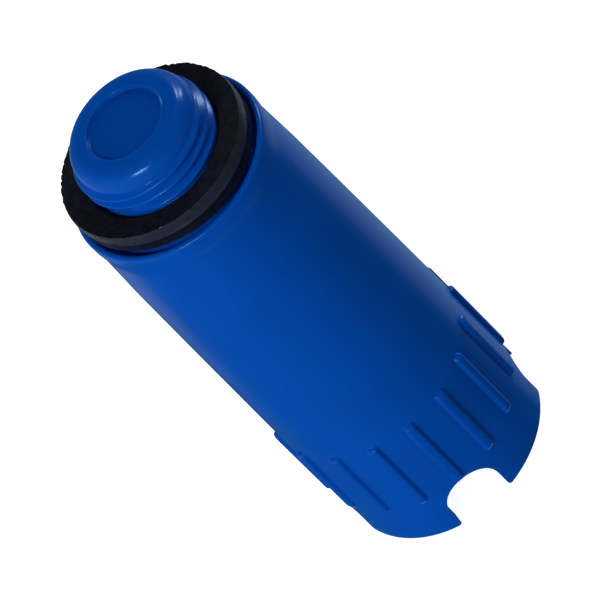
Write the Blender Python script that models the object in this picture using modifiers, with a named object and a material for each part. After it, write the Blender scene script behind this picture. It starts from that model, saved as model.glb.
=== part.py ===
"""Pressure-test plug for a G 1/2 water outlet, standing on its open end.

Two pieces: plug_body, one moulding that is a hollow sleeve with grip ribs and turning
notches and a threaded stub on top, and sealing_washer, the loose rubber ring on its neck.
The origin is the centre of the open end, +Z runs up the sleeve to the threaded tip.
"""

import math

import bmesh
import bpy

MM = 0.001

# Turned surfaces
STEPS = 64                      # facets round every turned surface

# Sleeve, from the open end up to the rim
SLEEVE_TOP = 74.4 * MM          # flat top of the rim
WALL = 2.0 * MM
SLEEVE_TAPER = (                # (height, outer radius): the draft of the mould
    (72.6 * MM, 15.12 * MM),
    (70.7 * MM, 14.93 * MM),
    (68.0 * MM, 14.98 * MM),
    (62.0 * MM, 15.17 * MM),
    (56.0 * MM, 15.25 * MM),
    (38.9 * MM, 15.44 * MM),
    (0.0 * MM, 15.74 * MM),
)
OPEN_END_ROUND = 0.35 * MM
END_WALL_UNDERSIDE = 71.0 * MM
BORE_CORNER_ROUND = 1.5 * MM

# Rim, the groove inside it and the seat under the washer
RIM_RADIUS = 15.12 * MM
RIM_INNER_RADIUS = 14.3 * MM
RIM_OUTER_ROUND = 0.45 * MM
RIM_INNER_ROUND = 0.12 * MM
GROOVE_FLOOR = 72.3 * MM
SEAT_RADIUS = 12.9 * MM
SEAT_HEIGHT = 74.75 * MM

# Neck and threaded stub
NECK_RADIUS = 9.85 * MM
NECK_TOP = 77.7 * MM
ROOT_RADIUS = 9.42 * MM
ROOT_START = 78.05 * MM
TIP_HEIGHT = 85.7 * MM
DOME_RADIUS = 9.75 * MM
DOME_ROUND = 2.5 * MM
BADGE_RADIUS = 5.85 * MM
BADGE_DEPTH = 0.45 * MM
BADGE_ROUND = 0.2 * MM
CAVITY_RADIUS = 6.9 * MM
CAVITY_TOP_RADIUS = 6.6 * MM
CAVITY_TOP = 82.5 * MM
CAVITY_ROUND = 2.0 * MM

# G 1/2 parallel pipe thread, right-handed
THREAD_RADIUS = 20.955 / 2 * MM
THREAD_PITCH = 25.4 / 14 * MM
THREAD_FLANK_ANGLE = math.radians(55 / 2)
THREAD_CREST_ROUND = 0.25 * MM
THREAD_SINK = 0.35 * MM         # how far the ridge is rooted in the stub
THREAD_STEPS_PER_TURN = 48
THREAD_TURNS = 2.5
THREAD_START_ANGLE = math.radians(-155)
THREAD_START_HEIGHT = 78.38 * MM
THREAD_FADE_IN = math.radians(50)
THREAD_FADE_OUT = math.radians(80)
RUN_OUT_HEIGHT = 0.15           # share of the ridge's height left at its buried ends

# Grip ribs
RIB_COUNT = 16
RIB_WIDTH = 1.7 * MM
RIB_OUTER_RADIUS = 16.3 * MM
RIB_ROOT_RADIUS = 15.0 * MM
RIB_BOTTOM = 7.7 * MM
RIB_TOP = 22.2 * MM
RIB_EDGE = 0.25 * MM

# Turning notches, in two opposite pairs
NOTCH_DEPTH = 7.55 * MM
NOTCH_HALF_WIDTH = 4.3 * MM
NOTCH_MOUTH_ROUND = 0.6 * MM
NOTCH_REACH = 20.0 * MM         # half the length of a cutter that passes through both walls
NOTCH_OVERRUN = 2.0 * MM        # how far a cutter reaches below the open end
NOTCH_ARC_STEPS = 20

# Sealing washer
WASHER_OUTER_RADIUS = 13.98 * MM
WASHER_CLEARANCE = 0.1 * MM     # running clearance on the neck
WASHER_LEAD_IN = 0.8 * MM       # bevel that guides the bore over the thread
WASHER_BOTTOM = 75.05 * MM
WASHER_TOP = 78.3 * MM
WASHER_EDGE = 0.12 * MM

MERGE = 0.00001


def clear_scene():
    for old in list(bpy.data.objects):
        bpy.data.objects.remove(old, do_unlink=True)


def new_collection(name):
    collection = bpy.data.collections.new(name)
    bpy.context.scene.collection.children.link(collection)
    return collection


def new_material(name, color, roughness):
    material = bpy.data.materials.new(name)
    material.use_nodes = True
    shader = material.node_tree.nodes["Principled BSDF"]
    shader.inputs["Base Color"].default_value = (*color, 1.0)
    shader.inputs["Roughness"].default_value = roughness
    shader.inputs["Metallic"].default_value = 0.0
    return material


def add_object(name, mesh, collection, material=None):
    obj = bpy.data.objects.new(name, mesh)
    collection.objects.link(obj)
    if material:
        mesh.materials.append(material)
    return obj


def as_cutter(obj):
    obj.hide_render = True
    obj.display_type = "WIRE"


def arc(center_r, center_z, radius, start_degrees, end_degrees, steps):
    """Points of a round stretch of a profile, at angles measured from +R towards +Z."""
    points = []
    for i in range(steps + 1):
        angle = math.radians(start_degrees + (end_degrees - start_degrees) * i / steps)
        points.append((center_r + radius * math.cos(angle), center_z + radius * math.sin(angle)))
    return points


def turned(name, profile, closed, collection, material):
    """A turned solid: the (radius, height) profile at +X, swept round Z by a Screw modifier."""
    mesh = bpy.data.meshes.new(name)
    bm = bmesh.new()
    verts = [bm.verts.new((r, 0.0, z)) for r, z in profile]
    for first, second in zip(verts, verts[1:]):
        bm.edges.new((first, second))
    if closed:
        bm.edges.new((verts[-1], verts[0]))
    bm.to_mesh(mesh)
    bm.free()
    obj = add_object(name, mesh, collection, material)
    screw = obj.modifiers.new("turn", "SCREW")
    screw.axis = "Z"
    screw.steps = STEPS
    screw.render_steps = STEPS
    screw.use_merge_vertices = True
    screw.merge_threshold = MERGE
    screw.use_smooth_shade = True
    return obj


def combine(target, other, operation):
    modifier = target.modifiers.new(other.name, "BOOLEAN")
    modifier.operation = operation
    modifier.solver = "EXACT"
    modifier.object = other


def stub_profile():
    """From the centre of the badge recess out over the dome and down to the washer's seat."""
    badge_floor = TIP_HEIGHT - BADGE_DEPTH
    points = [(0.0, badge_floor), (BADGE_RADIUS, badge_floor)]
    points += arc(BADGE_RADIUS + BADGE_ROUND, TIP_HEIGHT - BADGE_ROUND, BADGE_ROUND, 180, 90, 2)
    points += arc(DOME_RADIUS - DOME_ROUND, TIP_HEIGHT - DOME_ROUND, DOME_ROUND, 90, 0, 6)
    points.append((ROOT_RADIUS, TIP_HEIGHT - DOME_ROUND - (DOME_RADIUS - ROOT_RADIUS)))
    points.append((ROOT_RADIUS, ROOT_START))
    points.append((NECK_RADIUS, NECK_TOP))
    points.append((NECK_RADIUS, SEAT_HEIGHT))
    return points


def sleeve_outside_profile():
    """From the seat across the groove, over the rim and down to the open end."""
    points = [
        (SEAT_RADIUS, SEAT_HEIGHT),
        (SEAT_RADIUS, GROOVE_FLOOR),
        (RIM_INNER_RADIUS, GROOVE_FLOOR),
    ]
    points += arc(RIM_INNER_RADIUS + RIM_INNER_ROUND, SLEEVE_TOP - RIM_INNER_ROUND,
                  RIM_INNER_ROUND, 180, 90, 2)
    points += arc(RIM_RADIUS - RIM_OUTER_ROUND, SLEEVE_TOP - RIM_OUTER_ROUND,
                  RIM_OUTER_ROUND, 90, 0, 3)
    points += [(radius, height) for height, radius in SLEEVE_TAPER[:-1]]
    open_end_radius = SLEEVE_TAPER[-1][1]
    points += arc(open_end_radius - OPEN_END_ROUND, OPEN_END_ROUND, OPEN_END_ROUND, 0, -90, 3)
    return points


def inside_profile():
    """From the open end up the bore and into the blind cavity of the stub."""
    bore_mouth = SLEEVE_TAPER[-1][1] - WALL
    bore_top = SLEEVE_TAPER[1][1] - WALL
    points = arc(bore_mouth + OPEN_END_ROUND, OPEN_END_ROUND, OPEN_END_ROUND, -90, -180, 3)
    points += arc(bore_top - BORE_CORNER_ROUND, END_WALL_UNDERSIDE - BORE_CORNER_ROUND,
                  BORE_CORNER_ROUND, 0, 90, 3)
    points.append((CAVITY_RADIUS, END_WALL_UNDERSIDE))
    points += arc(CAVITY_TOP_RADIUS - CAVITY_ROUND, CAVITY_TOP - CAVITY_ROUND,
                  CAVITY_ROUND, 0, 90, 3)
    points.append((0.0, CAVITY_TOP))
    return points


def thread_section():
    """Height and radius of the ridge's section, from its lower root over the crest."""
    crest_center = THREAD_RADIUS - THREAD_CREST_ROUND
    tangent_rise = THREAD_CREST_ROUND * math.cos(THREAD_FLANK_ANGLE)
    tangent_radius = crest_center + THREAD_CREST_ROUND * math.sin(THREAD_FLANK_ANGLE)
    root = ROOT_RADIUS - THREAD_SINK
    half_base = tangent_rise + (tangent_radius - root) * math.tan(THREAD_FLANK_ANGLE)
    return [
        (-half_base, root),
        (-tangent_rise, tangent_radius),
        (0.0, THREAD_RADIUS),
        (tangent_rise, tangent_radius),
        (half_base, root),
    ]


def thread_fade(angle, total):
    """0 where the ridge has run out, 1 where it has its full height."""
    rise = min(1.0, angle / THREAD_FADE_IN, (total - angle) / THREAD_FADE_OUT)
    return rise * rise * (3 - 2 * rise)


def thread_ridge(collection):
    """The helical ridge as one closed solid, rooted in the stub and faded at both ends."""
    total = THREAD_TURNS * 2 * math.pi
    steps = round(THREAD_TURNS * THREAD_STEPS_PER_TURN)
    sunk = ROOT_RADIUS - THREAD_SINK
    bm = bmesh.new()
    section = [bm.verts.new((radius, 0.0, THREAD_START_HEIGHT + rise))
               for rise, radius in thread_section()]
    edges = [bm.edges.new((a, b)) for a, b in zip(section, section[1:] + section[:1])]
    swept = bmesh.ops.spin(bm, geom=section + edges, cent=(0, 0, 0), axis=(0, 0, 1),
                           dvec=(0, 0, THREAD_TURNS * THREAD_PITCH / steps),
                           angle=total, steps=steps)
    last = [v for v in swept["geom_last"] if isinstance(v, bmesh.types.BMVert)]
    bm.faces.new(section)
    bm.faces.new(last)
    bmesh.ops.recalc_face_normals(bm, faces=bm.faces)
    rows = len(section)
    bm.verts.ensure_lookup_table()
    for index, vert in enumerate(bm.verts):
        fade = thread_fade(total * (index // rows) / steps, total)
        radius = math.hypot(vert.co.x, vert.co.y)
        kept = sunk + (radius - sunk) * (RUN_OUT_HEIGHT + (1 - RUN_OUT_HEIGHT) * fade)
        vert.co.x *= kept / radius
        vert.co.y *= kept / radius
    mesh = bpy.data.meshes.new("thread_ridge")
    bm.to_mesh(mesh)
    bm.free()
    ridge = add_object("thread_ridge", mesh, collection)
    ridge.rotation_euler.z = THREAD_START_ANGLE
    as_cutter(ridge)
    return ridge


def grip_ribs(collection):
    """All the ribs in one mesh, each a bevelled bar rooted in the sleeve wall."""
    bm = bmesh.new()
    for i in range(RIB_COUNT):
        bar = bmesh.ops.create_cube(bm, size=1.0)["verts"]
        size = (RIB_OUTER_RADIUS - RIB_ROOT_RADIUS, RIB_WIDTH, RIB_TOP - RIB_BOTTOM)
        center = ((RIB_OUTER_RADIUS + RIB_ROOT_RADIUS) / 2, 0.0, (RIB_TOP + RIB_BOTTOM) / 2)
        bmesh.ops.scale(bm, vec=size, verts=bar)
        bmesh.ops.translate(bm, vec=center, verts=bar)
        outer = [e for e in bm.edges if all(v in bar and v.co.x > center[0] for v in e.verts)]
        bevelled = bmesh.ops.bevel(bm, geom=outer, offset=RIB_EDGE, segments=1, affect="EDGES")
        whole = set(bar) | set(bevelled["verts"])
        whole = [v for v in whole if v.is_valid]
        turn = math.radians(360 / RIB_COUNT * i)
        rotate_about_z(whole, turn)
    mesh = bpy.data.meshes.new("grip_ribs")
    bm.to_mesh(mesh)
    bm.free()
    ribs = add_object("grip_ribs", mesh, collection)
    as_cutter(ribs)
    return ribs


def rotate_about_z(verts, angle):
    cosine = math.cos(angle)
    sine = math.sin(angle)
    for vert in verts:
        x, y = vert.co.x, vert.co.y
        vert.co.x = x * cosine - y * sine
        vert.co.y = x * sine + y * cosine


def notch_outline():
    """The U of a notch seen from outside, with rounded corners where it meets the open end."""
    half = NOTCH_HALF_WIDTH
    mouth = NOTCH_MOUTH_ROUND
    outline = [(half + mouth, -NOTCH_OVERRUN)]
    outline += arc(half + mouth, mouth, mouth, -90, -180, 4)
    outline += arc(0.0, NOTCH_DEPTH - half, half, 0, 180, NOTCH_ARC_STEPS)
    outline += arc(-half - mouth, mouth, mouth, 0, -90, 4)
    outline.append((-half - mouth, -NOTCH_OVERRUN))
    return outline


def notch_cutter(name, turn, collection):
    """A bar with the notch's outline that passes through two opposite walls of the sleeve."""
    curve = bpy.data.curves.new(name, "CURVE")
    curve.dimensions = "2D"
    curve.fill_mode = "BOTH"
    curve.extrude = NOTCH_REACH
    outline = notch_outline()
    spline = curve.splines.new("POLY")
    spline.points.add(len(outline) - 1)
    for point, (across, height) in zip(spline.points, outline):
        point.co = (across, height, 0.0, 1.0)
    spline.use_cyclic_u = True
    shape = bpy.data.objects.new(name + "_outline", curve)
    collection.objects.link(shape)
    shape.rotation_euler = (math.radians(90), 0.0, turn)
    bpy.context.view_layer.update()
    evaluated = shape.evaluated_get(bpy.context.evaluated_depsgraph_get())
    mesh = bpy.data.meshes.new_from_object(evaluated)
    bm = bmesh.new()
    bm.from_mesh(mesh)
    bmesh.ops.remove_doubles(bm, verts=bm.verts, dist=MERGE)
    bmesh.ops.recalc_face_normals(bm, faces=bm.faces)
    bm.to_mesh(mesh)
    bm.free()
    cutter = add_object(name, mesh, collection)
    cutter.matrix_world = shape.matrix_world
    bpy.data.objects.remove(shape, do_unlink=True)
    as_cutter(cutter)
    return cutter


def plug_body(parts, cutters, material):
    profile = stub_profile() + sleeve_outside_profile() + inside_profile()
    body = turned("plug_body", profile, False, parts, material)
    combine(body, thread_ridge(cutters), "UNION")
    combine(body, grip_ribs(cutters), "UNION")
    combine(body, notch_cutter("notch_pair_y", 0.0, cutters), "DIFFERENCE")
    combine(body, notch_cutter("notch_pair_x", math.radians(90), cutters), "DIFFERENCE")
    return body


def sealing_washer(parts, material):
    bore = NECK_RADIUS + WASHER_CLEARANCE
    outer = WASHER_OUTER_RADIUS
    edge = WASHER_EDGE
    profile = [
        (bore, WASHER_TOP - WASHER_LEAD_IN),
        (bore + WASHER_LEAD_IN, WASHER_TOP),
        (outer - edge, WASHER_TOP),
        (outer, WASHER_TOP - edge),
        (outer, WASHER_BOTTOM + edge),
        (outer - edge, WASHER_BOTTOM),
        (bore, WASHER_BOTTOM),
    ]
    return turned("sealing_washer", profile, True, parts, material)


def build():
    clear_scene()
    parts = new_collection("pressure_test_plug")
    cutters = new_collection("cutters")
    blue = new_material("blue_polypropylene", (0.0, 0.055, 0.36), 0.35)
    black = new_material("black_rubber", (0.012, 0.013, 0.018), 0.6)
    plug_body(parts, cutters, blue)
    sealing_washer(parts, black)


build()
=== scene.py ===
import math

import bpy
import numpy as np
from mathutils import Matrix, Vector


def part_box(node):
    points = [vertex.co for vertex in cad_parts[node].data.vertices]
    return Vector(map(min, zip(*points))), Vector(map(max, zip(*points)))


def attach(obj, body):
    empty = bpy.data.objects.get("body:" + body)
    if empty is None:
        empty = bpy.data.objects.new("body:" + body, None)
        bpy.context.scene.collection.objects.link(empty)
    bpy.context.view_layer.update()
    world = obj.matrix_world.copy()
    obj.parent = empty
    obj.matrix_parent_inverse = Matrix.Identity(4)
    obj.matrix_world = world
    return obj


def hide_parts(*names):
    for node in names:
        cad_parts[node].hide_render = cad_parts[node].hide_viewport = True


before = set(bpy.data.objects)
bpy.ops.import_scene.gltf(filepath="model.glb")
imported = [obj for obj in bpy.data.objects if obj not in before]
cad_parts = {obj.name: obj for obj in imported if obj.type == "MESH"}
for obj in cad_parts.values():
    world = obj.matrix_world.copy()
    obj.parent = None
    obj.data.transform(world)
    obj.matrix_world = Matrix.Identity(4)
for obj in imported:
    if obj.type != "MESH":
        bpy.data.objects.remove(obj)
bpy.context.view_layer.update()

# The object's sizes are in millimetres, and each mesh is scaled to metres when it is made.
MM = 0.001
BODY_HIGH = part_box("plug_body")[1] / MM
WASHER_LOW, WASHER_HIGH = (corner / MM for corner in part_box("sealing_washer"))

# Stub: badge recess, dome and core
TIP = BODY_HIGH.z
DOME_TOP = TIP - 0.1            # the badge's lip stands this much higher
DOME_RADIUS = 9.75
DOME_ROUND = 2.5
DOME_FOOT_BLEND = 0.8           # height over which the dome draws in to the thread's root
LIP_RADIUS = 6.0                # middle of the raised lip round the badge
LIP_ROUND = 0.13
BADGE_DEPTH = 0.42
BADGE_CROWN = 0.08              # how much the badge's floor bulges in its middle
BADGE_FILLET = 0.12
ROOT_RADIUS = 9.12
NECK_RADIUS = 9.85
NECK_TOP = 77.7
NECK_FILLET = 0.3
ROOT_START = 78.05              # the neck has drawn in to the thread's root by this height

# G 1/2 parallel pipe thread, right-handed
THREAD_RADIUS = 20.955 / 2
THREAD_PITCH = 25.4 / 14
THREAD_FLANK_ANGLE = math.radians(55 / 2)
THREAD_CREST_ROUND = 0.25
THREAD_ROOT_BLEND = 0.12
THREAD_TURNS = 2.5
THREAD_START_ANGLE = math.radians(-155)
THREAD_START_HEIGHT = 78.38
THREAD_FADE_IN = math.radians(50)
THREAD_FADE_OUT = math.radians(80)
THREAD_ROW = 0.065              # height of one row of the mesh

# Rim, groove and washer seat
SLEEVE_TOP = 74.4
RIM_RADIUS = 15.12
RIM_INNER_RADIUS = 14.3
RIM_OUTER_ROUND = 0.45
RIM_INNER_ROUND = 0.12
GROOVE_FLOOR = 72.3
GROOVE_ROUND = 0.15             # rounding of the groove's corners and of the seat's edge
SEAT_RADIUS = 12.9
SEAT_HEIGHT = 74.75

# Sleeve
WALL = 2.0
OPEN_END_RADIUS = 15.74
WAIST_HEIGHT = 70.7             # the outside draws in a little under the rim
SLEEVE_TAPER = ((0.0, OPEN_END_RADIUS), (38.9, 15.44), (56.0, 15.25), (62.0, 15.17), (68.0, 14.98),
                (WAIST_HEIGHT, 14.93), (72.6, 15.12), (74.4, 15.12))
STEP_HEIGHT = 7.75              # a faint step in the outside, level with the ribs' lower ends
STEP_RISE = 0.02
STEP_BLEND = 0.15
OUTER_EDGE_ROUND = 0.12
INNER_EDGE_ROUND = 0.12
END_WALL_UNDERSIDE = 71.0
BORE_CORNER_ROUND = 1.5
CAVITY_RADIUS = 6.9
CAVITY_TOP_RADIUS = 6.6
CAVITY_TOP = 82.5
CAVITY_ROUND = 2.0
CAVITY_MOUTH_ROUND = 0.3

# Grip ribs
RIB_COUNT = 16
RIB_HALF_WIDTH = 0.85
RIB_OUTER_RADIUS = BODY_HIGH.x
RIB_SHOULDER = 0.55             # width of the rounded shoulder along each edge
RIB_TOP_CORNER = 0.5            # rounding of the rib's outline at its ends
RIB_BOTTOM_CORNER = 0.3
RIB_BOTTOM = 7.8
RIB_TOP = 22.2

# Turning notches
NOTCH_COUNT = 4
NOTCH_DEPTH = 7.55
NOTCH_HALF_WIDTH = 4.3
NOTCH_MOUTH_ROUND = 0.6
BAND_TOP = 7.68                 # the rows below this height follow the notches' outline

# Sealing washer
WASHER_RADIUS = WASHER_HIGH.x
WASHER_BORE = NECK_RADIUS + 0.1
WASHER_LEAD_IN = 0.8
WASHER_TOP = WASHER_HIGH.z
WASHER_BOTTOM = WASHER_LOW.z
WASHER_COLUMNS = 540
WASHER_EDGE_DROP = 0.2          # the upper edge is torn down to this depth
WASHER_SKIN = 1.9               # height of the smooth upper band of the side
WASHER_SKIN_SWELL = 0.11
WASHER_LIFT = 0.45              # how far the outer edge curls up on its raised side
WASHER_LIFT_ANGLE = math.radians(-152)
WASHER_STRETCH = 0.58           # how much wider the rubber is on its stretched side
WASHER_STRETCH_ANGLE = math.radians(138)
WASHER_DROOP = 0.8              # how far the lower outer edge hangs over the seat where it isn't stretched
WASHER_SAG = 0.25               # how much further it hangs at its lowest
WASHER_SAG_ANGLE = math.radians(-90)
WASHER_SWAY = 0.06              # slow unevenness of its upper face
WASHER_NICK = 0.2               # depth of the nicks torn in its upper edge
CUT_FACE, SHEENED_SKIN, SHADED_FOOT = range(3)
# One for each strip of faces, from the bore over the top and down the side to the underside; the side's
# upper band takes a lighter rubber as painted sheen, and its lower band a darker one as painted shade
WASHER_MATERIALS = [CUT_FACE] * 12 + [SHEENED_SKIN] * 7 + [SHADED_FOOT] * 6 + [CUT_FACE] * 2

# Colours, where gloss and sheen are the tints of the reflected light
PLASTIC_DARK = (0.0, 0.089, 0.55)
PLASTIC_LIGHT = (0.0, 0.096, 0.59)
PLASTIC_SPECK = (0.0, 0.11, 0.67)
BADGE_BLUE = (0.0, 0.078, 0.48)
PLASTIC_GLOSS = (0.3, 0.65, 1.0, 1.0)
PLASTIC_SHEEN = (0.0, 0.6, 1.0, 1.0)
RUBBER_GLOSS = (0.6, 0.72, 1.0, 1.0)

# Camera, in degrees and metres
CAMERA_AZIMUTH = 7.5
CAMERA_ELEVATION = 43.5
CAMERA_ROLL = 45.13
CAMERA_DISTANCE = 1.6
CAMERA_VIEW_WIDTH = 0.0828      # width of the picture where the object stands
CAMERA_SENSOR = 36.0            # millimetres
AIM_HEIGHT = 0.03894
AIM_RIGHT = -0.000166

# Studio, in metres
LAMP_DISTANCE = 0.7
WORLD_GLOW = 0.02
FLOOR_HALF = 3.0
FLOOR_LEVEL = -0.00005
FLOOR_GLOW = 0.95


def arc(center_r, center_z, radius, start_degrees, end_degrees, steps):
    """Points of a round stretch of a profile, at angles measured from +R towards +Z."""
    angles = np.radians(np.linspace(start_degrees, end_degrees, steps + 1))
    return list(zip(center_r + radius * np.cos(angles), center_z + radius * np.sin(angles)))


def ease(x):
    """0 below 0, 1 above 1, and a smooth rise between."""
    x = np.clip(x, 0.0, 1.0)
    return x * x * (3 - 2 * x)


def towards_edge(width, steps):
    """Distances from an edge over a round shoulder of that width, closest together at the edge."""
    return width * (1 - np.cos(np.linspace(0, math.pi / 2, steps + 1)))


def column_angles():
    """Angles of the body's columns: close together on the ribs' sides, wider between them."""
    half_pitch = math.pi * RIB_OUTER_RADIUS / RIB_COUNT
    side = RIB_HALF_WIDTH - towards_edge(RIB_SHOULDER, 5)[::-1]
    beside = np.linspace(RIB_HALF_WIDTH + 0.12, half_pitch, 7)
    half = np.concatenate([[0.0], side, beside])
    pitch = np.concatenate([-half[:0:-1], half[:-1]]) * (math.pi / RIB_COUNT / half_pitch)
    return np.concatenate([pitch + 2 * math.pi * i / RIB_COUNT for i in range(RIB_COUNT)])


COLUMNS = column_angles()


def mesh_piece(name, points, faces, materials, face_materials=None):
    mesh = bpy.data.meshes.new(name)
    mesh.from_pydata((np.asarray(points) * MM).tolist(), [], faces)
    for material in materials:
        mesh.materials.append(material)
    if face_materials is not None:
        mesh.polygons.foreach_set("material_index", face_materials)
    mesh.polygons.foreach_set("use_smooth", [True] * len(mesh.polygons))
    mesh.validate()
    mesh.update()
    piece = bpy.data.objects.new(name, mesh)
    bpy.context.scene.collection.objects.link(piece)
    return piece


def ring(radius, height, angle):
    """One row of points round the axis; radius and height may vary with the column."""
    radius = np.broadcast_to(radius, angle.shape)
    height = np.broadcast_to(height, angle.shape)
    return np.stack([radius * np.cos(angle), radius * np.sin(angle), height], axis=1)


def strip(first, second):
    """Quads between two rows, given as arrays of point numbers in the same order."""
    return np.stack([first, second, np.roll(second, -1), np.roll(first, -1)], axis=1).tolist()


# ---------------------------------------------------------------- body

def thread_radius(angle, height, core):
    """Radius of the threaded stub: its core, and the helical ridge where it stands out of it."""
    tangent_rise = THREAD_CREST_ROUND * math.cos(THREAD_FLANK_ANGLE)
    tangent_radius = THREAD_RADIUS - THREAD_CREST_ROUND * (1 - math.sin(THREAD_FLANK_ANGLE))
    crest_center = THREAD_RADIUS - THREAD_CREST_ROUND
    total = THREAD_TURNS * 2 * math.pi
    radius = np.array(core, float)
    for turn in range(-1, math.ceil(THREAD_TURNS) + 2):
        along = (angle - THREAD_START_ANGLE) % (2 * math.pi) + turn * 2 * math.pi
        off = np.abs(height - THREAD_START_HEIGHT - along / (2 * math.pi) * THREAD_PITCH)
        crest = crest_center + np.sqrt(np.maximum(THREAD_CREST_ROUND ** 2 - off ** 2, 0))
        flank = tangent_radius - (off - tangent_rise) / math.tan(THREAD_FLANK_ANGLE)
        ridge = np.where(off < tangent_rise, crest, flank)
        fade = ease(np.minimum(along / THREAD_FADE_IN, (total - along) / THREAD_FADE_OUT))
        ridge = core + (ridge - core) * fade
        blend = np.maximum(THREAD_ROOT_BLEND - np.abs(ridge - radius), 0) / THREAD_ROOT_BLEND
        joined = np.maximum(ridge, radius) + blend * blend * THREAD_ROOT_BLEND / 4
        inside = (along > 0) & (along < total)
        radius = np.where(inside, joined, radius)
    return radius


def stub_core(height):
    """Radius of the stub without its thread, from the foot of the dome to the neck."""
    dome_foot = DOME_TOP - DOME_ROUND
    core = ROOT_RADIUS + (DOME_RADIUS - ROOT_RADIUS) * ease(1 - (dome_foot - height) / DOME_FOOT_BLEND)
    return core + (NECK_RADIUS - ROOT_RADIUS) * ease((ROOT_START - height) / (ROOT_START - NECK_TOP))


def stub_profile():
    """From just outside the badge's centre over its lip and the dome."""
    floor = DOME_TOP - BADGE_DEPTH
    wall = LIP_RADIUS - LIP_ROUND - 0.05
    points = []
    for share in (0.1, 0.25, 0.45, 0.65, 0.8, 0.92):
        points.append((wall * share, floor + BADGE_CROWN * (1 - share * share)))
    points += arc(wall - BADGE_FILLET - 0.02, floor + BADGE_FILLET, BADGE_FILLET, -90, -10, 3)
    points += arc(LIP_RADIUS, TIP - LIP_ROUND, LIP_ROUND, 170, 35, 6)
    points += [(LIP_RADIUS + 0.19, DOME_TOP + 0.01), (LIP_RADIUS + 0.3, DOME_TOP)]
    points.append((DOME_RADIUS - DOME_ROUND - 0.15, DOME_TOP))
    points += arc(DOME_RADIUS - DOME_ROUND, DOME_TOP - DOME_ROUND, DOME_ROUND, 90, 0, 14)
    return points


def seat_and_rim_profile():
    """From the neck over the washer's seat and the groove to the outside of the rim."""
    points = [(NECK_RADIUS, 77.3), (NECK_RADIUS, 76.0)]
    points += arc(NECK_RADIUS + NECK_FILLET, SEAT_HEIGHT + NECK_FILLET, NECK_FILLET, 180, 270, 3)
    points += arc(SEAT_RADIUS - GROOVE_ROUND, SEAT_HEIGHT - GROOVE_ROUND, GROOVE_ROUND, 90, 0, 3)
    points += arc(SEAT_RADIUS + GROOVE_ROUND, GROOVE_FLOOR + GROOVE_ROUND, GROOVE_ROUND, 180, 270, 3)
    points += arc(RIM_INNER_RADIUS - GROOVE_ROUND, GROOVE_FLOOR + GROOVE_ROUND, GROOVE_ROUND, -90, 0, 3)
    points += arc(RIM_INNER_RADIUS + RIM_INNER_ROUND, SLEEVE_TOP - RIM_INNER_ROUND,
                  RIM_INNER_ROUND, 180, 90, 3)
    points += arc(RIM_RADIUS - RIM_OUTER_ROUND, SLEEVE_TOP - RIM_OUTER_ROUND,
                  RIM_OUTER_ROUND, 90, 0, 6)
    return points


def sleeve_radius(height):
    """Outside radius of the sleeve without its ribs: a smooth curve through the taper's points."""
    levels, radii = np.array(SLEEVE_TAPER).T
    slopes = np.gradient(radii, levels)
    slopes[-1] = 0
    at = np.clip(np.searchsorted(levels, height) - 1, 0, len(levels) - 2)
    span = levels[at + 1] - levels[at]
    t = np.clip((height - levels[at]) / span, 0, 1)
    rest = 1 - t
    curve = (radii[at] * (1 + 2 * t) * rest ** 2 + radii[at + 1] * (3 - 2 * t) * t ** 2
             + span * (slopes[at] * t * rest ** 2 - slopes[at + 1] * rest * t ** 2))
    return curve + STEP_RISE * ease((STEP_HEIGHT - height) / STEP_BLEND)


def rib_height(angle, height):
    """How much a rib adds, as a share of its full height: 1 on its top, round at its edges."""
    pitch = 2 * math.pi / RIB_COUNT
    across = np.abs(angle - np.round(angle / pitch) * pitch) * RIB_OUTER_RADIUS
    middle = (RIB_TOP + RIB_BOTTOM) / 2
    corner = np.where(height > middle, RIB_TOP_CORNER, RIB_BOTTOM_CORNER)
    past_side = across - (RIB_HALF_WIDTH - corner)
    past_end = np.abs(height - middle) - ((RIB_TOP - RIB_BOTTOM) / 2 - corner)
    outside = np.hypot(np.maximum(past_side, 0), np.maximum(past_end, 0))
    inward = corner - outside - np.minimum(np.maximum(past_side, past_end), 0)
    share = np.clip(inward / RIB_SHOULDER, 0, 1)
    return np.sqrt(1 - (1 - share) ** 2)


def outside_radius(angle, height):
    """Outside radius of the sleeve with its ribs."""
    base = sleeve_radius(height)
    return base + (RIB_OUTER_RADIUS - base) * rib_height(angle, height)


def bore_radius(height):
    """Radius of the sleeve's bore, which keeps the waist's width up to the end wall."""
    return sleeve_radius(np.minimum(height, WAIST_HEIGHT)) - WALL


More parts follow.
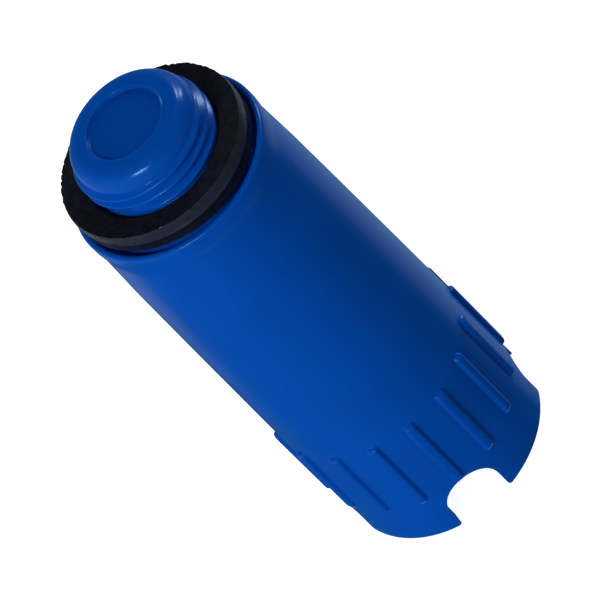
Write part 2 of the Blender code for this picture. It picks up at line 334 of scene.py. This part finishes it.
def notch_edge(offset, radius):
    """The outline of the open end with its notches, moved into the wall by offset.

    Each column has its own place on the outline: those over a notch go round its U, and the
    rest spread along the open end. Returns angles and heights on a cylinder of that radius.
    """
    sector = 2 * math.pi / NOTCH_COUNT
    number = np.round(COLUMNS / sector)
    local = COLUMNS - number * sector
    middle = NOTCH_DEPTH - NOTCH_HALF_WIDTH
    mouth_end = NOTCH_HALF_WIDTH + NOTCH_MOUTH_ROUND
    u_length = NOTCH_HALF_WIDTH * math.pi / 2
    side_length = middle - NOTCH_MOUTH_ROUND
    mouth_length = NOTCH_MOUTH_ROUND * math.pi / 2
    end_length = sector / 2 * OPEN_END_RADIUS - mouth_end
    along = np.abs(local) / (sector / 2) * (u_length + side_length + mouth_length + end_length)

    turn = np.clip(along / u_length, 0, 1) * math.pi / 2
    down = np.clip(along - u_length, 0, side_length)
    curl = np.clip((along - u_length - side_length) / mouth_length, 0, 1) * math.pi / 2
    rest = np.clip((along - u_length - side_length - mouth_length) / end_length, 0, 1)
    in_mouth = curl > 0
    across = np.where(in_mouth, mouth_end - (NOTCH_MOUTH_ROUND - offset) * np.cos(curl),
                      (NOTCH_HALF_WIDTH + offset) * np.sin(turn))
    height = np.where(in_mouth, NOTCH_MOUTH_ROUND - (NOTCH_MOUTH_ROUND - offset) * np.sin(curl),
                      middle + (NOTCH_HALF_WIDTH + offset) * np.cos(turn) - down)
    angle = np.arcsin(across / radius)
    angle = angle + (sector / 2 - angle) * rest
    return np.sign(local) * angle + number * sector, height


def threaded_rings():
    """Rows down the thread, from the foot of the dome to the neck."""
    rings = []
    for height in np.arange(DOME_TOP - DOME_ROUND - THREAD_ROW, NECK_TOP - 0.2, -THREAD_ROW):
        core = stub_core(np.full(COLUMNS.shape, height))
        rings.append(ring(thread_radius(COLUMNS, height, core), height, COLUMNS))
    return rings


def outside_rings():
    """Rows down the outside of the sleeve, closest together at the ribs' ends."""
    levels = [73.5, 72.6, 72.0, 71.4, WAIST_HEIGHT, 70.0, 69.2, 68.0, 66.0, 62.0]
    levels += [56.0, 50.0, 44.0, 38.0, 32.0, 27.0, 24.0, 22.5]
    levels += list(RIB_TOP - towards_edge(RIB_SHOULDER, 8))
    levels += list(np.linspace(RIB_TOP - 1.4, RIB_BOTTOM + 1.2, 7))
    levels += list(RIB_BOTTOM + towards_edge(RIB_SHOULDER, 6)[::-1])
    levels.append(BAND_TOP)
    return [ring(outside_radius(COLUMNS, height), height, COLUMNS) for height in levels]


def open_end_rings():
    """Rows that draw in to the notched outline, go round its edge and come back up the inside."""
    rings = []
    edge_angle, edge_height = notch_edge(OUTER_EDGE_ROUND, OPEN_END_RADIUS)
    for share in ease(np.linspace(0, 1, 9))[1:-1]:
        angle = COLUMNS + (edge_angle - COLUMNS) * share
        height = BAND_TOP + (edge_height - BAND_TOP) * share
        rings.append(ring(outside_radius(angle, height), height, angle))
    for tilt in np.radians(np.linspace(0, 90, 6)):
        angle, height = notch_edge(OUTER_EDGE_ROUND * (1 - math.sin(tilt)), OPEN_END_RADIUS)
        depth = OUTER_EDGE_ROUND * (1 - math.cos(tilt))
        rings.append(ring(outside_radius(angle, height) - depth, height, angle))
    for share in (0.1, 0.5, 0.9):
        angle, height = notch_edge(0.0, OPEN_END_RADIUS - WALL * share)
        outer = outside_radius(angle, height) - OUTER_EDGE_ROUND
        inner = bore_radius(height) + INNER_EDGE_ROUND
        rings.append(ring(outer + (inner - outer) * share, height, angle))
    bore_mouth = OPEN_END_RADIUS - WALL
    for tilt in np.radians(np.linspace(90, 0, 4)):
        angle, height = notch_edge(INNER_EDGE_ROUND * (1 - math.sin(tilt)), bore_mouth)
        depth = INNER_EDGE_ROUND * (1 - math.cos(tilt))
        rings.append(ring(bore_radius(height) + depth, height, angle))
    inner_angle, inner_height = notch_edge(INNER_EDGE_ROUND, bore_mouth)
    for share in (0.2, 0.5, 0.8, 1.0):
        angle = inner_angle + (COLUMNS - inner_angle) * share
        height = inner_height + (BAND_TOP + 1.0 - inner_height) * share
        rings.append(ring(bore_radius(height), height, angle))
    return rings


def inside_profile():
    """From the sleeve's bore round the end wall and up to the top of the stub's cavity."""
    corner = END_WALL_UNDERSIDE - BORE_CORNER_ROUND
    points = [(float(bore_radius(np.array(height))), height) for height in (20.0, 40.0, 56.0, corner - 0.5)]
    top_radius = float(bore_radius(np.array(corner)))
    points += arc(top_radius - BORE_CORNER_ROUND, corner, BORE_CORNER_ROUND, 0, 90, 4)
    points += arc(CAVITY_RADIUS + CAVITY_MOUTH_ROUND, END_WALL_UNDERSIDE + CAVITY_MOUTH_ROUND,
                  CAVITY_MOUTH_ROUND, -90, -180, 3)
    points += arc(CAVITY_TOP_RADIUS - CAVITY_ROUND, CAVITY_TOP - CAVITY_ROUND, CAVITY_ROUND, 0, 90, 5)
    points.append((1.5, CAVITY_TOP))
    return points


def body_rings():
    """All rows of the body, from the badge's centre down the outside and back up the inside."""
    rings = [ring(radius, height, COLUMNS) for radius, height in stub_profile()]
    rings += threaded_rings()
    rings += [ring(radius, height, COLUMNS) for radius, height in seat_and_rim_profile()]
    rings += outside_rings() + open_end_rings()
    return rings + [ring(radius, height, COLUMNS) for radius, height in inside_profile()]


def plug_body(material):
    rings = body_rings()
    count = len(COLUMNS)
    top = [0.0, 0.0, DOME_TOP - BADGE_DEPTH + BADGE_CROWN]
    points = np.concatenate([[top], *rings, [[0.0, 0.0, CAVITY_TOP]]])
    rows = [1 + count * i + np.arange(count) for i in range(len(rings))]
    faces = []
    for i in range(count):
        faces.append([0, int(rows[0][i]), int(rows[0][(i + 1) % count])])
    for first, second in zip(rows, rows[1:]):
        faces += strip(first, second)
    last = len(points) - 1
    for i in range(count):
        faces.append([last, int(rows[-1][(i + 1) % count]), int(rows[-1][i])])
    return mesh_piece("plug_moulding", points, faces, [material])


# ---------------------------------------------------------------- washer

def ragged(angle, seed, lowest, highest, power):
    """An uneven closed wave round the washer, from -1 to 1, the same each run."""
    generator = np.random.default_rng(seed)
    total = np.zeros_like(angle)
    for count in range(lowest, highest):
        size = (lowest / count) ** power
        total += size * np.cos(count * angle + generator.uniform(0, 2 * math.pi))
    return total / np.abs(total).max()


def washer_rings(angle):
    """Rows of the washer's section, from the foot of its bore over the top and down the side."""
    lift = WASHER_LIFT * (0.5 + 0.5 * np.cos(angle - WASHER_LIFT_ANGLE))
    stretch = WASHER_STRETCH * (0.5 + 0.5 * np.cos(angle - WASHER_STRETCH_ANGLE))
    sag = WASHER_SAG * ease(1.6 * np.cos(angle - WASHER_SAG_ANGLE) - 0.6)
    sag = sag + WASHER_DROOP * (1 - stretch / WASHER_STRETCH) ** 2
    sway = WASHER_SWAY * ragged(angle, 3, 2, 7, 1.0)
    nicks = np.maximum(ragged(angle, 5, 40, 130, 0.3) - 0.25, 0) / 0.75 * WASHER_NICK
    burr = np.maximum(ragged(angle, 8, 30, 120, 0.4) - 0.2, 0) / 0.8
    torn = ragged(angle, 11, 12, 110, 0.5) * WASHER_NICK / 2

    def row(radius, height):
        share = np.clip((radius - WASHER_BORE) / (WASHER_RADIUS - WASHER_BORE), 0, 1) ** 2
        level = (height - WASHER_BOTTOM) / (WASHER_TOP - WASHER_BOTTOM)
        moved = height + (lift + sway * level) * share - sag * share ** 3 * (1 - level)
        return ring(radius + stretch * share, moved, angle)

    edge = WASHER_RADIUS - 0.2 + torn
    inner = WASHER_BORE + WASHER_LEAD_IN
    rings = [row(WASHER_BORE, WASHER_BOTTOM + 0.15), row(WASHER_BORE, WASHER_BOTTOM + 1.5)]
    rings.append(row(WASHER_BORE, WASHER_TOP - WASHER_LEAD_IN))
    rings.append(row(WASHER_BORE + WASHER_LEAD_IN / 2, WASHER_TOP - WASHER_LEAD_IN / 2))
    for share in (0.0, 0.03, 0.2, 0.45, 0.7, 0.88, 0.96):
        rings.append(row(inner + (edge - inner) * share, WASHER_TOP - 0.02))
    rings.append(row(edge - nicks, WASHER_TOP - 0.02 + 0.2 * torn))
    rings.append(row(edge + 0.06 - nicks, WASHER_TOP - 0.05 - 0.5 * nicks))
    skin_top = WASHER_TOP - WASHER_EDGE_DROP
    skin_foot = WASHER_TOP - WASHER_SKIN
    rings.append(row(edge * 0.5 + (WASHER_RADIUS - 0.1) * 0.5 - 0.3 * nicks, skin_top))
    for share in (0.1, 0.3, 0.55, 0.8, 1.0):
        swell = WASHER_SKIN_SWELL * math.sin(share * math.pi)
        rings.append(row(WASHER_RADIUS - 0.12 + swell, skin_top - (WASHER_SKIN - WASHER_EDGE_DROP) * share))
    rings.append(row(WASHER_RADIUS - 0.18, skin_foot - 0.06))
    rings.append(row(WASHER_RADIUS - 0.2, (skin_foot + WASHER_BOTTOM) / 2))
    rings.append(row(WASHER_RADIUS - 0.18, WASHER_BOTTOM + 0.2))
    rings.append(row(WASHER_RADIUS - 0.16 + 0.13 * burr, WASHER_BOTTOM + 0.1 - 0.05 * burr))
    rings.append(row(WASHER_RADIUS - 0.2 + 0.1 * burr, WASHER_BOTTOM + 0.02))
    rings.append(row(WASHER_RADIUS - 0.35, WASHER_BOTTOM))
    rings.append(row(WASHER_RADIUS - 0.9, WASHER_BOTTOM))
    rings.append(row(WASHER_BORE + 0.15, WASHER_BOTTOM))
    return rings


def sealing_washer(materials):
    """The washer, with its materials in the order of the cut faces, the skin (lighter: painted sheen) and
    the foot (darker: painted shade).
    """
    rings = washer_rings(np.linspace(0, 2 * math.pi, WASHER_COLUMNS, endpoint=False))
    rows = [WASHER_COLUMNS * i + np.arange(WASHER_COLUMNS) for i in range(len(rings))]
    faces = []
    face_materials = []
    for first, second, material in zip(rows, rows[1:] + rows[:1], WASHER_MATERIALS):
        faces += strip(first, second)
        face_materials += [material] * WASHER_COLUMNS
    return mesh_piece("rubber_washer", np.concatenate(rings), faces, materials, face_materials)


# ---------------------------------------------------------------- materials

def add_node(tree, kind, inputs=None, **settings):
    """A node with its settings, and its inputs set to a value or linked to another node's output."""
    node = tree.nodes.new(kind)
    for name, value in settings.items():
        setattr(node, name, value)
    for name, value in (inputs or {}).items():
        if isinstance(value, bpy.types.NodeSocket):
            tree.links.new(value, node.inputs[name])
        else:
            node.inputs[name].default_value = value
    return node


def noise(tree, place, scale, detail, rough=0.5):
    inputs = {"Vector": place, "Scale": scale, "Detail": detail, "Roughness": rough}
    return add_node(tree, "ShaderNodeTexNoise", inputs).outputs["Fac"]


def map_range(tree, value, low, high, to_low, to_high):
    inputs = {"Value": value, "From Min": low, "From Max": high, "To Min": to_low, "To Max": to_high}
    return add_node(tree, "ShaderNodeMapRange", inputs).outputs["Result"]


def stretched(tree, place, scale):
    inputs = {"Vector": place, "Scale": scale}
    return add_node(tree, "ShaderNodeMapping", inputs).outputs["Vector"]


def mix_colors(tree, share, first, second):
    node = tree.nodes.new("ShaderNodeMix")
    node.data_type = "RGBA"
    colors = [s for s in node.inputs if s.type == "RGBA"]
    tree.links.new(share, node.inputs[0])
    for socket, color in zip(colors, (first, second)):
        if isinstance(color, bpy.types.NodeSocket):
            tree.links.new(color, socket)
        else:
            socket.default_value = (*color, 1.0)
    return next(s for s in node.outputs if s.type == "RGBA")


def bump(tree, height, distance, strength, under=None):
    inputs = {"Height": height, "Distance": distance, "Strength": strength}
    if under:
        inputs["Normal"] = under
    return add_node(tree, "ShaderNodeBump", inputs).outputs["Normal"]


def new_material(name):
    material = bpy.data.materials.new(name)
    material.use_nodes = True
    tree = material.node_tree
    place = add_node(tree, "ShaderNodeTexCoord").outputs["Object"]
    return material, tree, tree.nodes["Principled BSDF"], place


def connect(tree, shader, color, rough, normal):
    tree.links.new(color, shader.inputs["Base Color"])
    tree.links.new(rough, shader.inputs["Roughness"])
    tree.links.new(normal, shader.inputs["Normal"])


def blue_polypropylene():
    """Semi-gloss moulded plastic: faint clouds and specks, fine draw lines, soft grain, a darker badge."""
    material, tree, shader, place = new_material("blue_polypropylene")
    clouds = noise(tree, place, 90.0, 3.0)
    specks = noise(tree, place, 1500.0, 2.0)
    share = map_range(tree, clouds, 0.35, 0.65, 0.0, 1.0)
    color = mix_colors(tree, share, PLASTIC_DARK, PLASTIC_LIGHT)
    color = mix_colors(tree, map_range(tree, specks, 0.62, 0.8, 0.0, 0.25), color, PLASTIC_SPECK)
    axis = add_node(tree, "ShaderNodeSeparateXYZ", {"Vector": place}).outputs
    off_axis = stretched(tree, place, (1.0, 1.0, 0.0))
    out = add_node(tree, "ShaderNodeVectorMath", {0: off_axis}, operation="LENGTH").outputs["Value"]
    badge = map_range(tree, out, (LIP_RADIUS - 0.15) * MM, (LIP_RADIUS - 0.05) * MM, 1.0, 0.0)
    high = map_range(tree, axis["Z"], (TIP - 1.0) * MM, (TIP - 0.9) * MM, 0.0, 1.0)
    badge = add_node(tree, "ShaderNodeMath", {0: badge, 1: high}, operation="MULTIPLY").outputs["Value"]
    color = mix_colors(tree, badge, color, BADGE_BLUE)
    draw_lines = noise(tree, stretched(tree, place, (1400.0, 1400.0, 35.0)), 1.0, 2.0)
    grain = noise(tree, place, 5200.0, 3.0)
    rough = map_range(tree, noise(tree, place, 260.0, 4.0), 0.3, 0.7, 0.18, 0.25)
    normal = bump(tree, draw_lines, 0.00001, 0.2)
    connect(tree, shader, color, rough, bump(tree, grain, 0.000004, 0.2, normal))
    shader.inputs["IOR"].default_value = 1.49
    shader.inputs["Specular IOR Level"].default_value = 0.42
    shader.inputs["Specular Tint"].default_value = PLASTIC_GLOSS
    shader.inputs["Sheen Weight"].default_value = 0.35
    shader.inputs["Sheen Roughness"].default_value = 0.3
    shader.inputs["Sheen Tint"].default_value = PLASTIC_SHEEN
    return material


def rubber(name, dark, light, rough_low, rough_high, grain_depth, gloss):
    """Black rubber, mottled from dark to light, with uneven roughness and a fine grain."""
    material, tree, shader, place = new_material(name)
    dust = noise(tree, place, 700.0, 5.0, 0.65)
    color = mix_colors(tree, map_range(tree, dust, 0.35, 0.75, 0.0, 1.0), dark, light)
    rough = map_range(tree, noise(tree, place, 1100.0, 4.0), 0.3, 0.7, rough_low, rough_high)
    normal = bump(tree, noise(tree, place, 2600.0, 4.0, 0.6), grain_depth, 0.6)
    connect(tree, shader, color, rough, normal)
    shader.inputs["Specular IOR Level"].default_value = gloss
    shader.inputs["Specular Tint"].default_value = RUBBER_GLOSS
    return material


# ---------------------------------------------------------------- studio

def camera_axes():
    """The camera's right, up and back before it is rolled."""
    azimuth = math.radians(CAMERA_AZIMUTH)
    elevation = math.radians(CAMERA_ELEVATION)
    back = Vector((math.sin(azimuth) * math.cos(elevation),
                   -math.cos(azimuth) * math.cos(elevation), math.sin(elevation)))
    right = Vector((math.cos(azimuth), math.sin(azimuth), 0.0))
    return right, back.cross(right), back


def studio_camera():
    """A long lens that looks down at the object, rolled so that the plug lies across the picture."""
    right, up, back = camera_axes()
    roll = math.radians(CAMERA_ROLL)
    image_x = right * math.cos(roll) - up * math.sin(roll)
    image_y = right * math.sin(roll) + up * math.cos(roll)
    data = bpy.data.cameras.new("camera")
    data.sensor_width = CAMERA_SENSOR
    data.lens = CAMERA_SENSOR * CAMERA_DISTANCE / CAMERA_VIEW_WIDTH
    data.clip_start = 0.1
    data.clip_end = 10.0
    camera = bpy.data.objects.new("camera", data)
    aim = Vector((0.0, 0.0, AIM_HEIGHT)) + right * AIM_RIGHT
    camera.matrix_world = Matrix.Translation(aim + back * CAMERA_DISTANCE) @ Matrix(
        (image_x, image_y, back)).transposed().to_4x4()
    bpy.context.scene.collection.objects.link(camera)
    bpy.context.scene.camera = camera


def direction(side, elevation):
    """The way to a lamp, from its angle to the left of the camera and above the horizon."""
    turn = math.radians(CAMERA_AZIMUTH - side)
    level = math.cos(math.radians(elevation))
    return Vector((math.sin(turn) * level, -math.cos(turn) * level, math.sin(math.radians(elevation))))


def softbox(name, side, elevation, width, height, radiance, mirrored=True, lights=True):
    """A soft lamp that looks at the middle of the object; its width and height are angles.

    Surfaces show its mirror image only if it is mirrored, and are lit by it only if it lights.
    """
    data = bpy.data.lights.new(name, "AREA")
    data.shape = "RECTANGLE"
    data.size = 2 * LAMP_DISTANCE * math.tan(math.radians(width / 2))
    data.size_y = 2 * LAMP_DISTANCE * math.tan(math.radians(height / 2))
    data.energy = radiance * data.size * data.size_y * math.pi
    lamp = bpy.data.objects.new(name, data)
    way = direction(side, elevation)
    lamp.location = Vector((0.0, 0.0, AIM_HEIGHT)) + way * LAMP_DISTANCE
    lamp.rotation_mode = "QUATERNION"
    lamp.rotation_quaternion = way.to_track_quat("Z", "Y")
    lamp.visible_camera = False
    lamp.visible_glossy = mirrored
    lamp.visible_diffuse = lights
    bpy.context.scene.collection.objects.link(lamp)


def studio_world():
    """Near darkness round the lamps, so that the plastic keeps its deep blue."""
    world = bpy.data.worlds.new("studio")
    world.use_nodes = True
    world.node_tree.nodes["Background"].inputs["Color"].default_value = (1.0, 1.0, 1.0, 1.0)
    world.node_tree.nodes["Background"].inputs["Strength"].default_value = WORLD_GLOW
    bpy.context.scene.world = world


def studio_floor():
    """A plain pale floor, seen by the camera and left out of the object's light and reflections."""
    mesh = bpy.data.meshes.new("floor")
    signs = ((-1, -1), (1, -1), (1, 1), (-1, 1))
    corners = [(x * FLOOR_HALF, y * FLOOR_HALF, FLOOR_LEVEL) for x, y in signs]
    mesh.from_pydata(corners, [], [(0, 1, 2, 3)])
    material = bpy.data.materials.new("floor")
    material.use_nodes = True
    shader = material.node_tree.nodes["Principled BSDF"]
    shader.inputs["Base Color"].default_value = (0.5, 0.5, 0.5, 1.0)
    shader.inputs["Roughness"].default_value = 1.0
    shader.inputs["Emission Color"].default_value = (1.0, 1.0, 1.0, 1.0)
    shader.inputs["Emission Strength"].default_value = FLOOR_GLOW
    mesh.materials.append(material)
    floor = bpy.data.objects.new("floor", mesh)
    floor.visible_glossy = False
    floor.visible_diffuse = False
    floor.visible_shadow = False
    bpy.context.scene.collection.objects.link(floor)


def studio():
    """Broad dim lamps all round, and three small bright ones that make the highlights."""
    bpy.context.scene.view_settings.view_transform = "Standard"
    studio_camera()
    studio_floor()
    studio_world()
    softbox("left_wall", 68, 2, 84, 76, 0.9, mirrored=False)
    softbox("left_lamp", 40, 44, 15, 8, 25.0)
    softbox("left_back", 134, 2, 44, 60, 0.6, mirrored=False)
    softbox("left_glow", 104, -8, 64, 56, 0.09)
    softbox("right_wall", -138, 0, 38, 60, 2.95, mirrored=False)
    softbox("right_lamp", -116, 25, 6, 16, 14.0)
    softbox("thread_lamp", -128, 38, 6, 8, 24.0, lights=False)
    softbox("front_wall", -14, 7, 116, 55, 0.34, mirrored=False)
    softbox("side_wall", -100, -5, 50, 70, 0.26, mirrored=False)
    softbox("back_wall", 170, -5, 80, 60, 0.3, mirrored=False)
    softbox("ceiling", 0, 89, 56, 56, 0.08)
    softbox("low_right", -140, -33, 50, 34, 0.17)
    softbox("low_left", 145, -28, 50, 28, 0.22)
    softbox("under", 0, -89, 50, 50, 0.9)


def build():
    body = plug_body(blue_polypropylene())
    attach(body, "plug")
    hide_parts("plug_body")
    washer = sealing_washer([
        rubber("rubber_cut_face", (0.007, 0.007, 0.0125), (0.018, 0.0175, 0.027), 0.8, 0.95, 0.00004, 0.15),
        # The skin's lighter grey is painted sheen of the glossy side; its low roughness and strong gloss
        # are its own
        rubber("rubber_skin_painted_sheen", (0.022, 0.026, 0.044), (0.031, 0.037, 0.059), 0.22, 0.36, 0.00001, 0.9),
        # The foot's darker rubber is painted shade on the washer's lower band, where it hangs over the
        # groove under the rim
        rubber("rubber_foot_painted_shade", (0.004, 0.006, 0.012), (0.009, 0.011, 0.019), 0.4, 0.6, 0.00004, 0.4)])
    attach(washer, "washer")
    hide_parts("sealing_washer")


studio()
build()
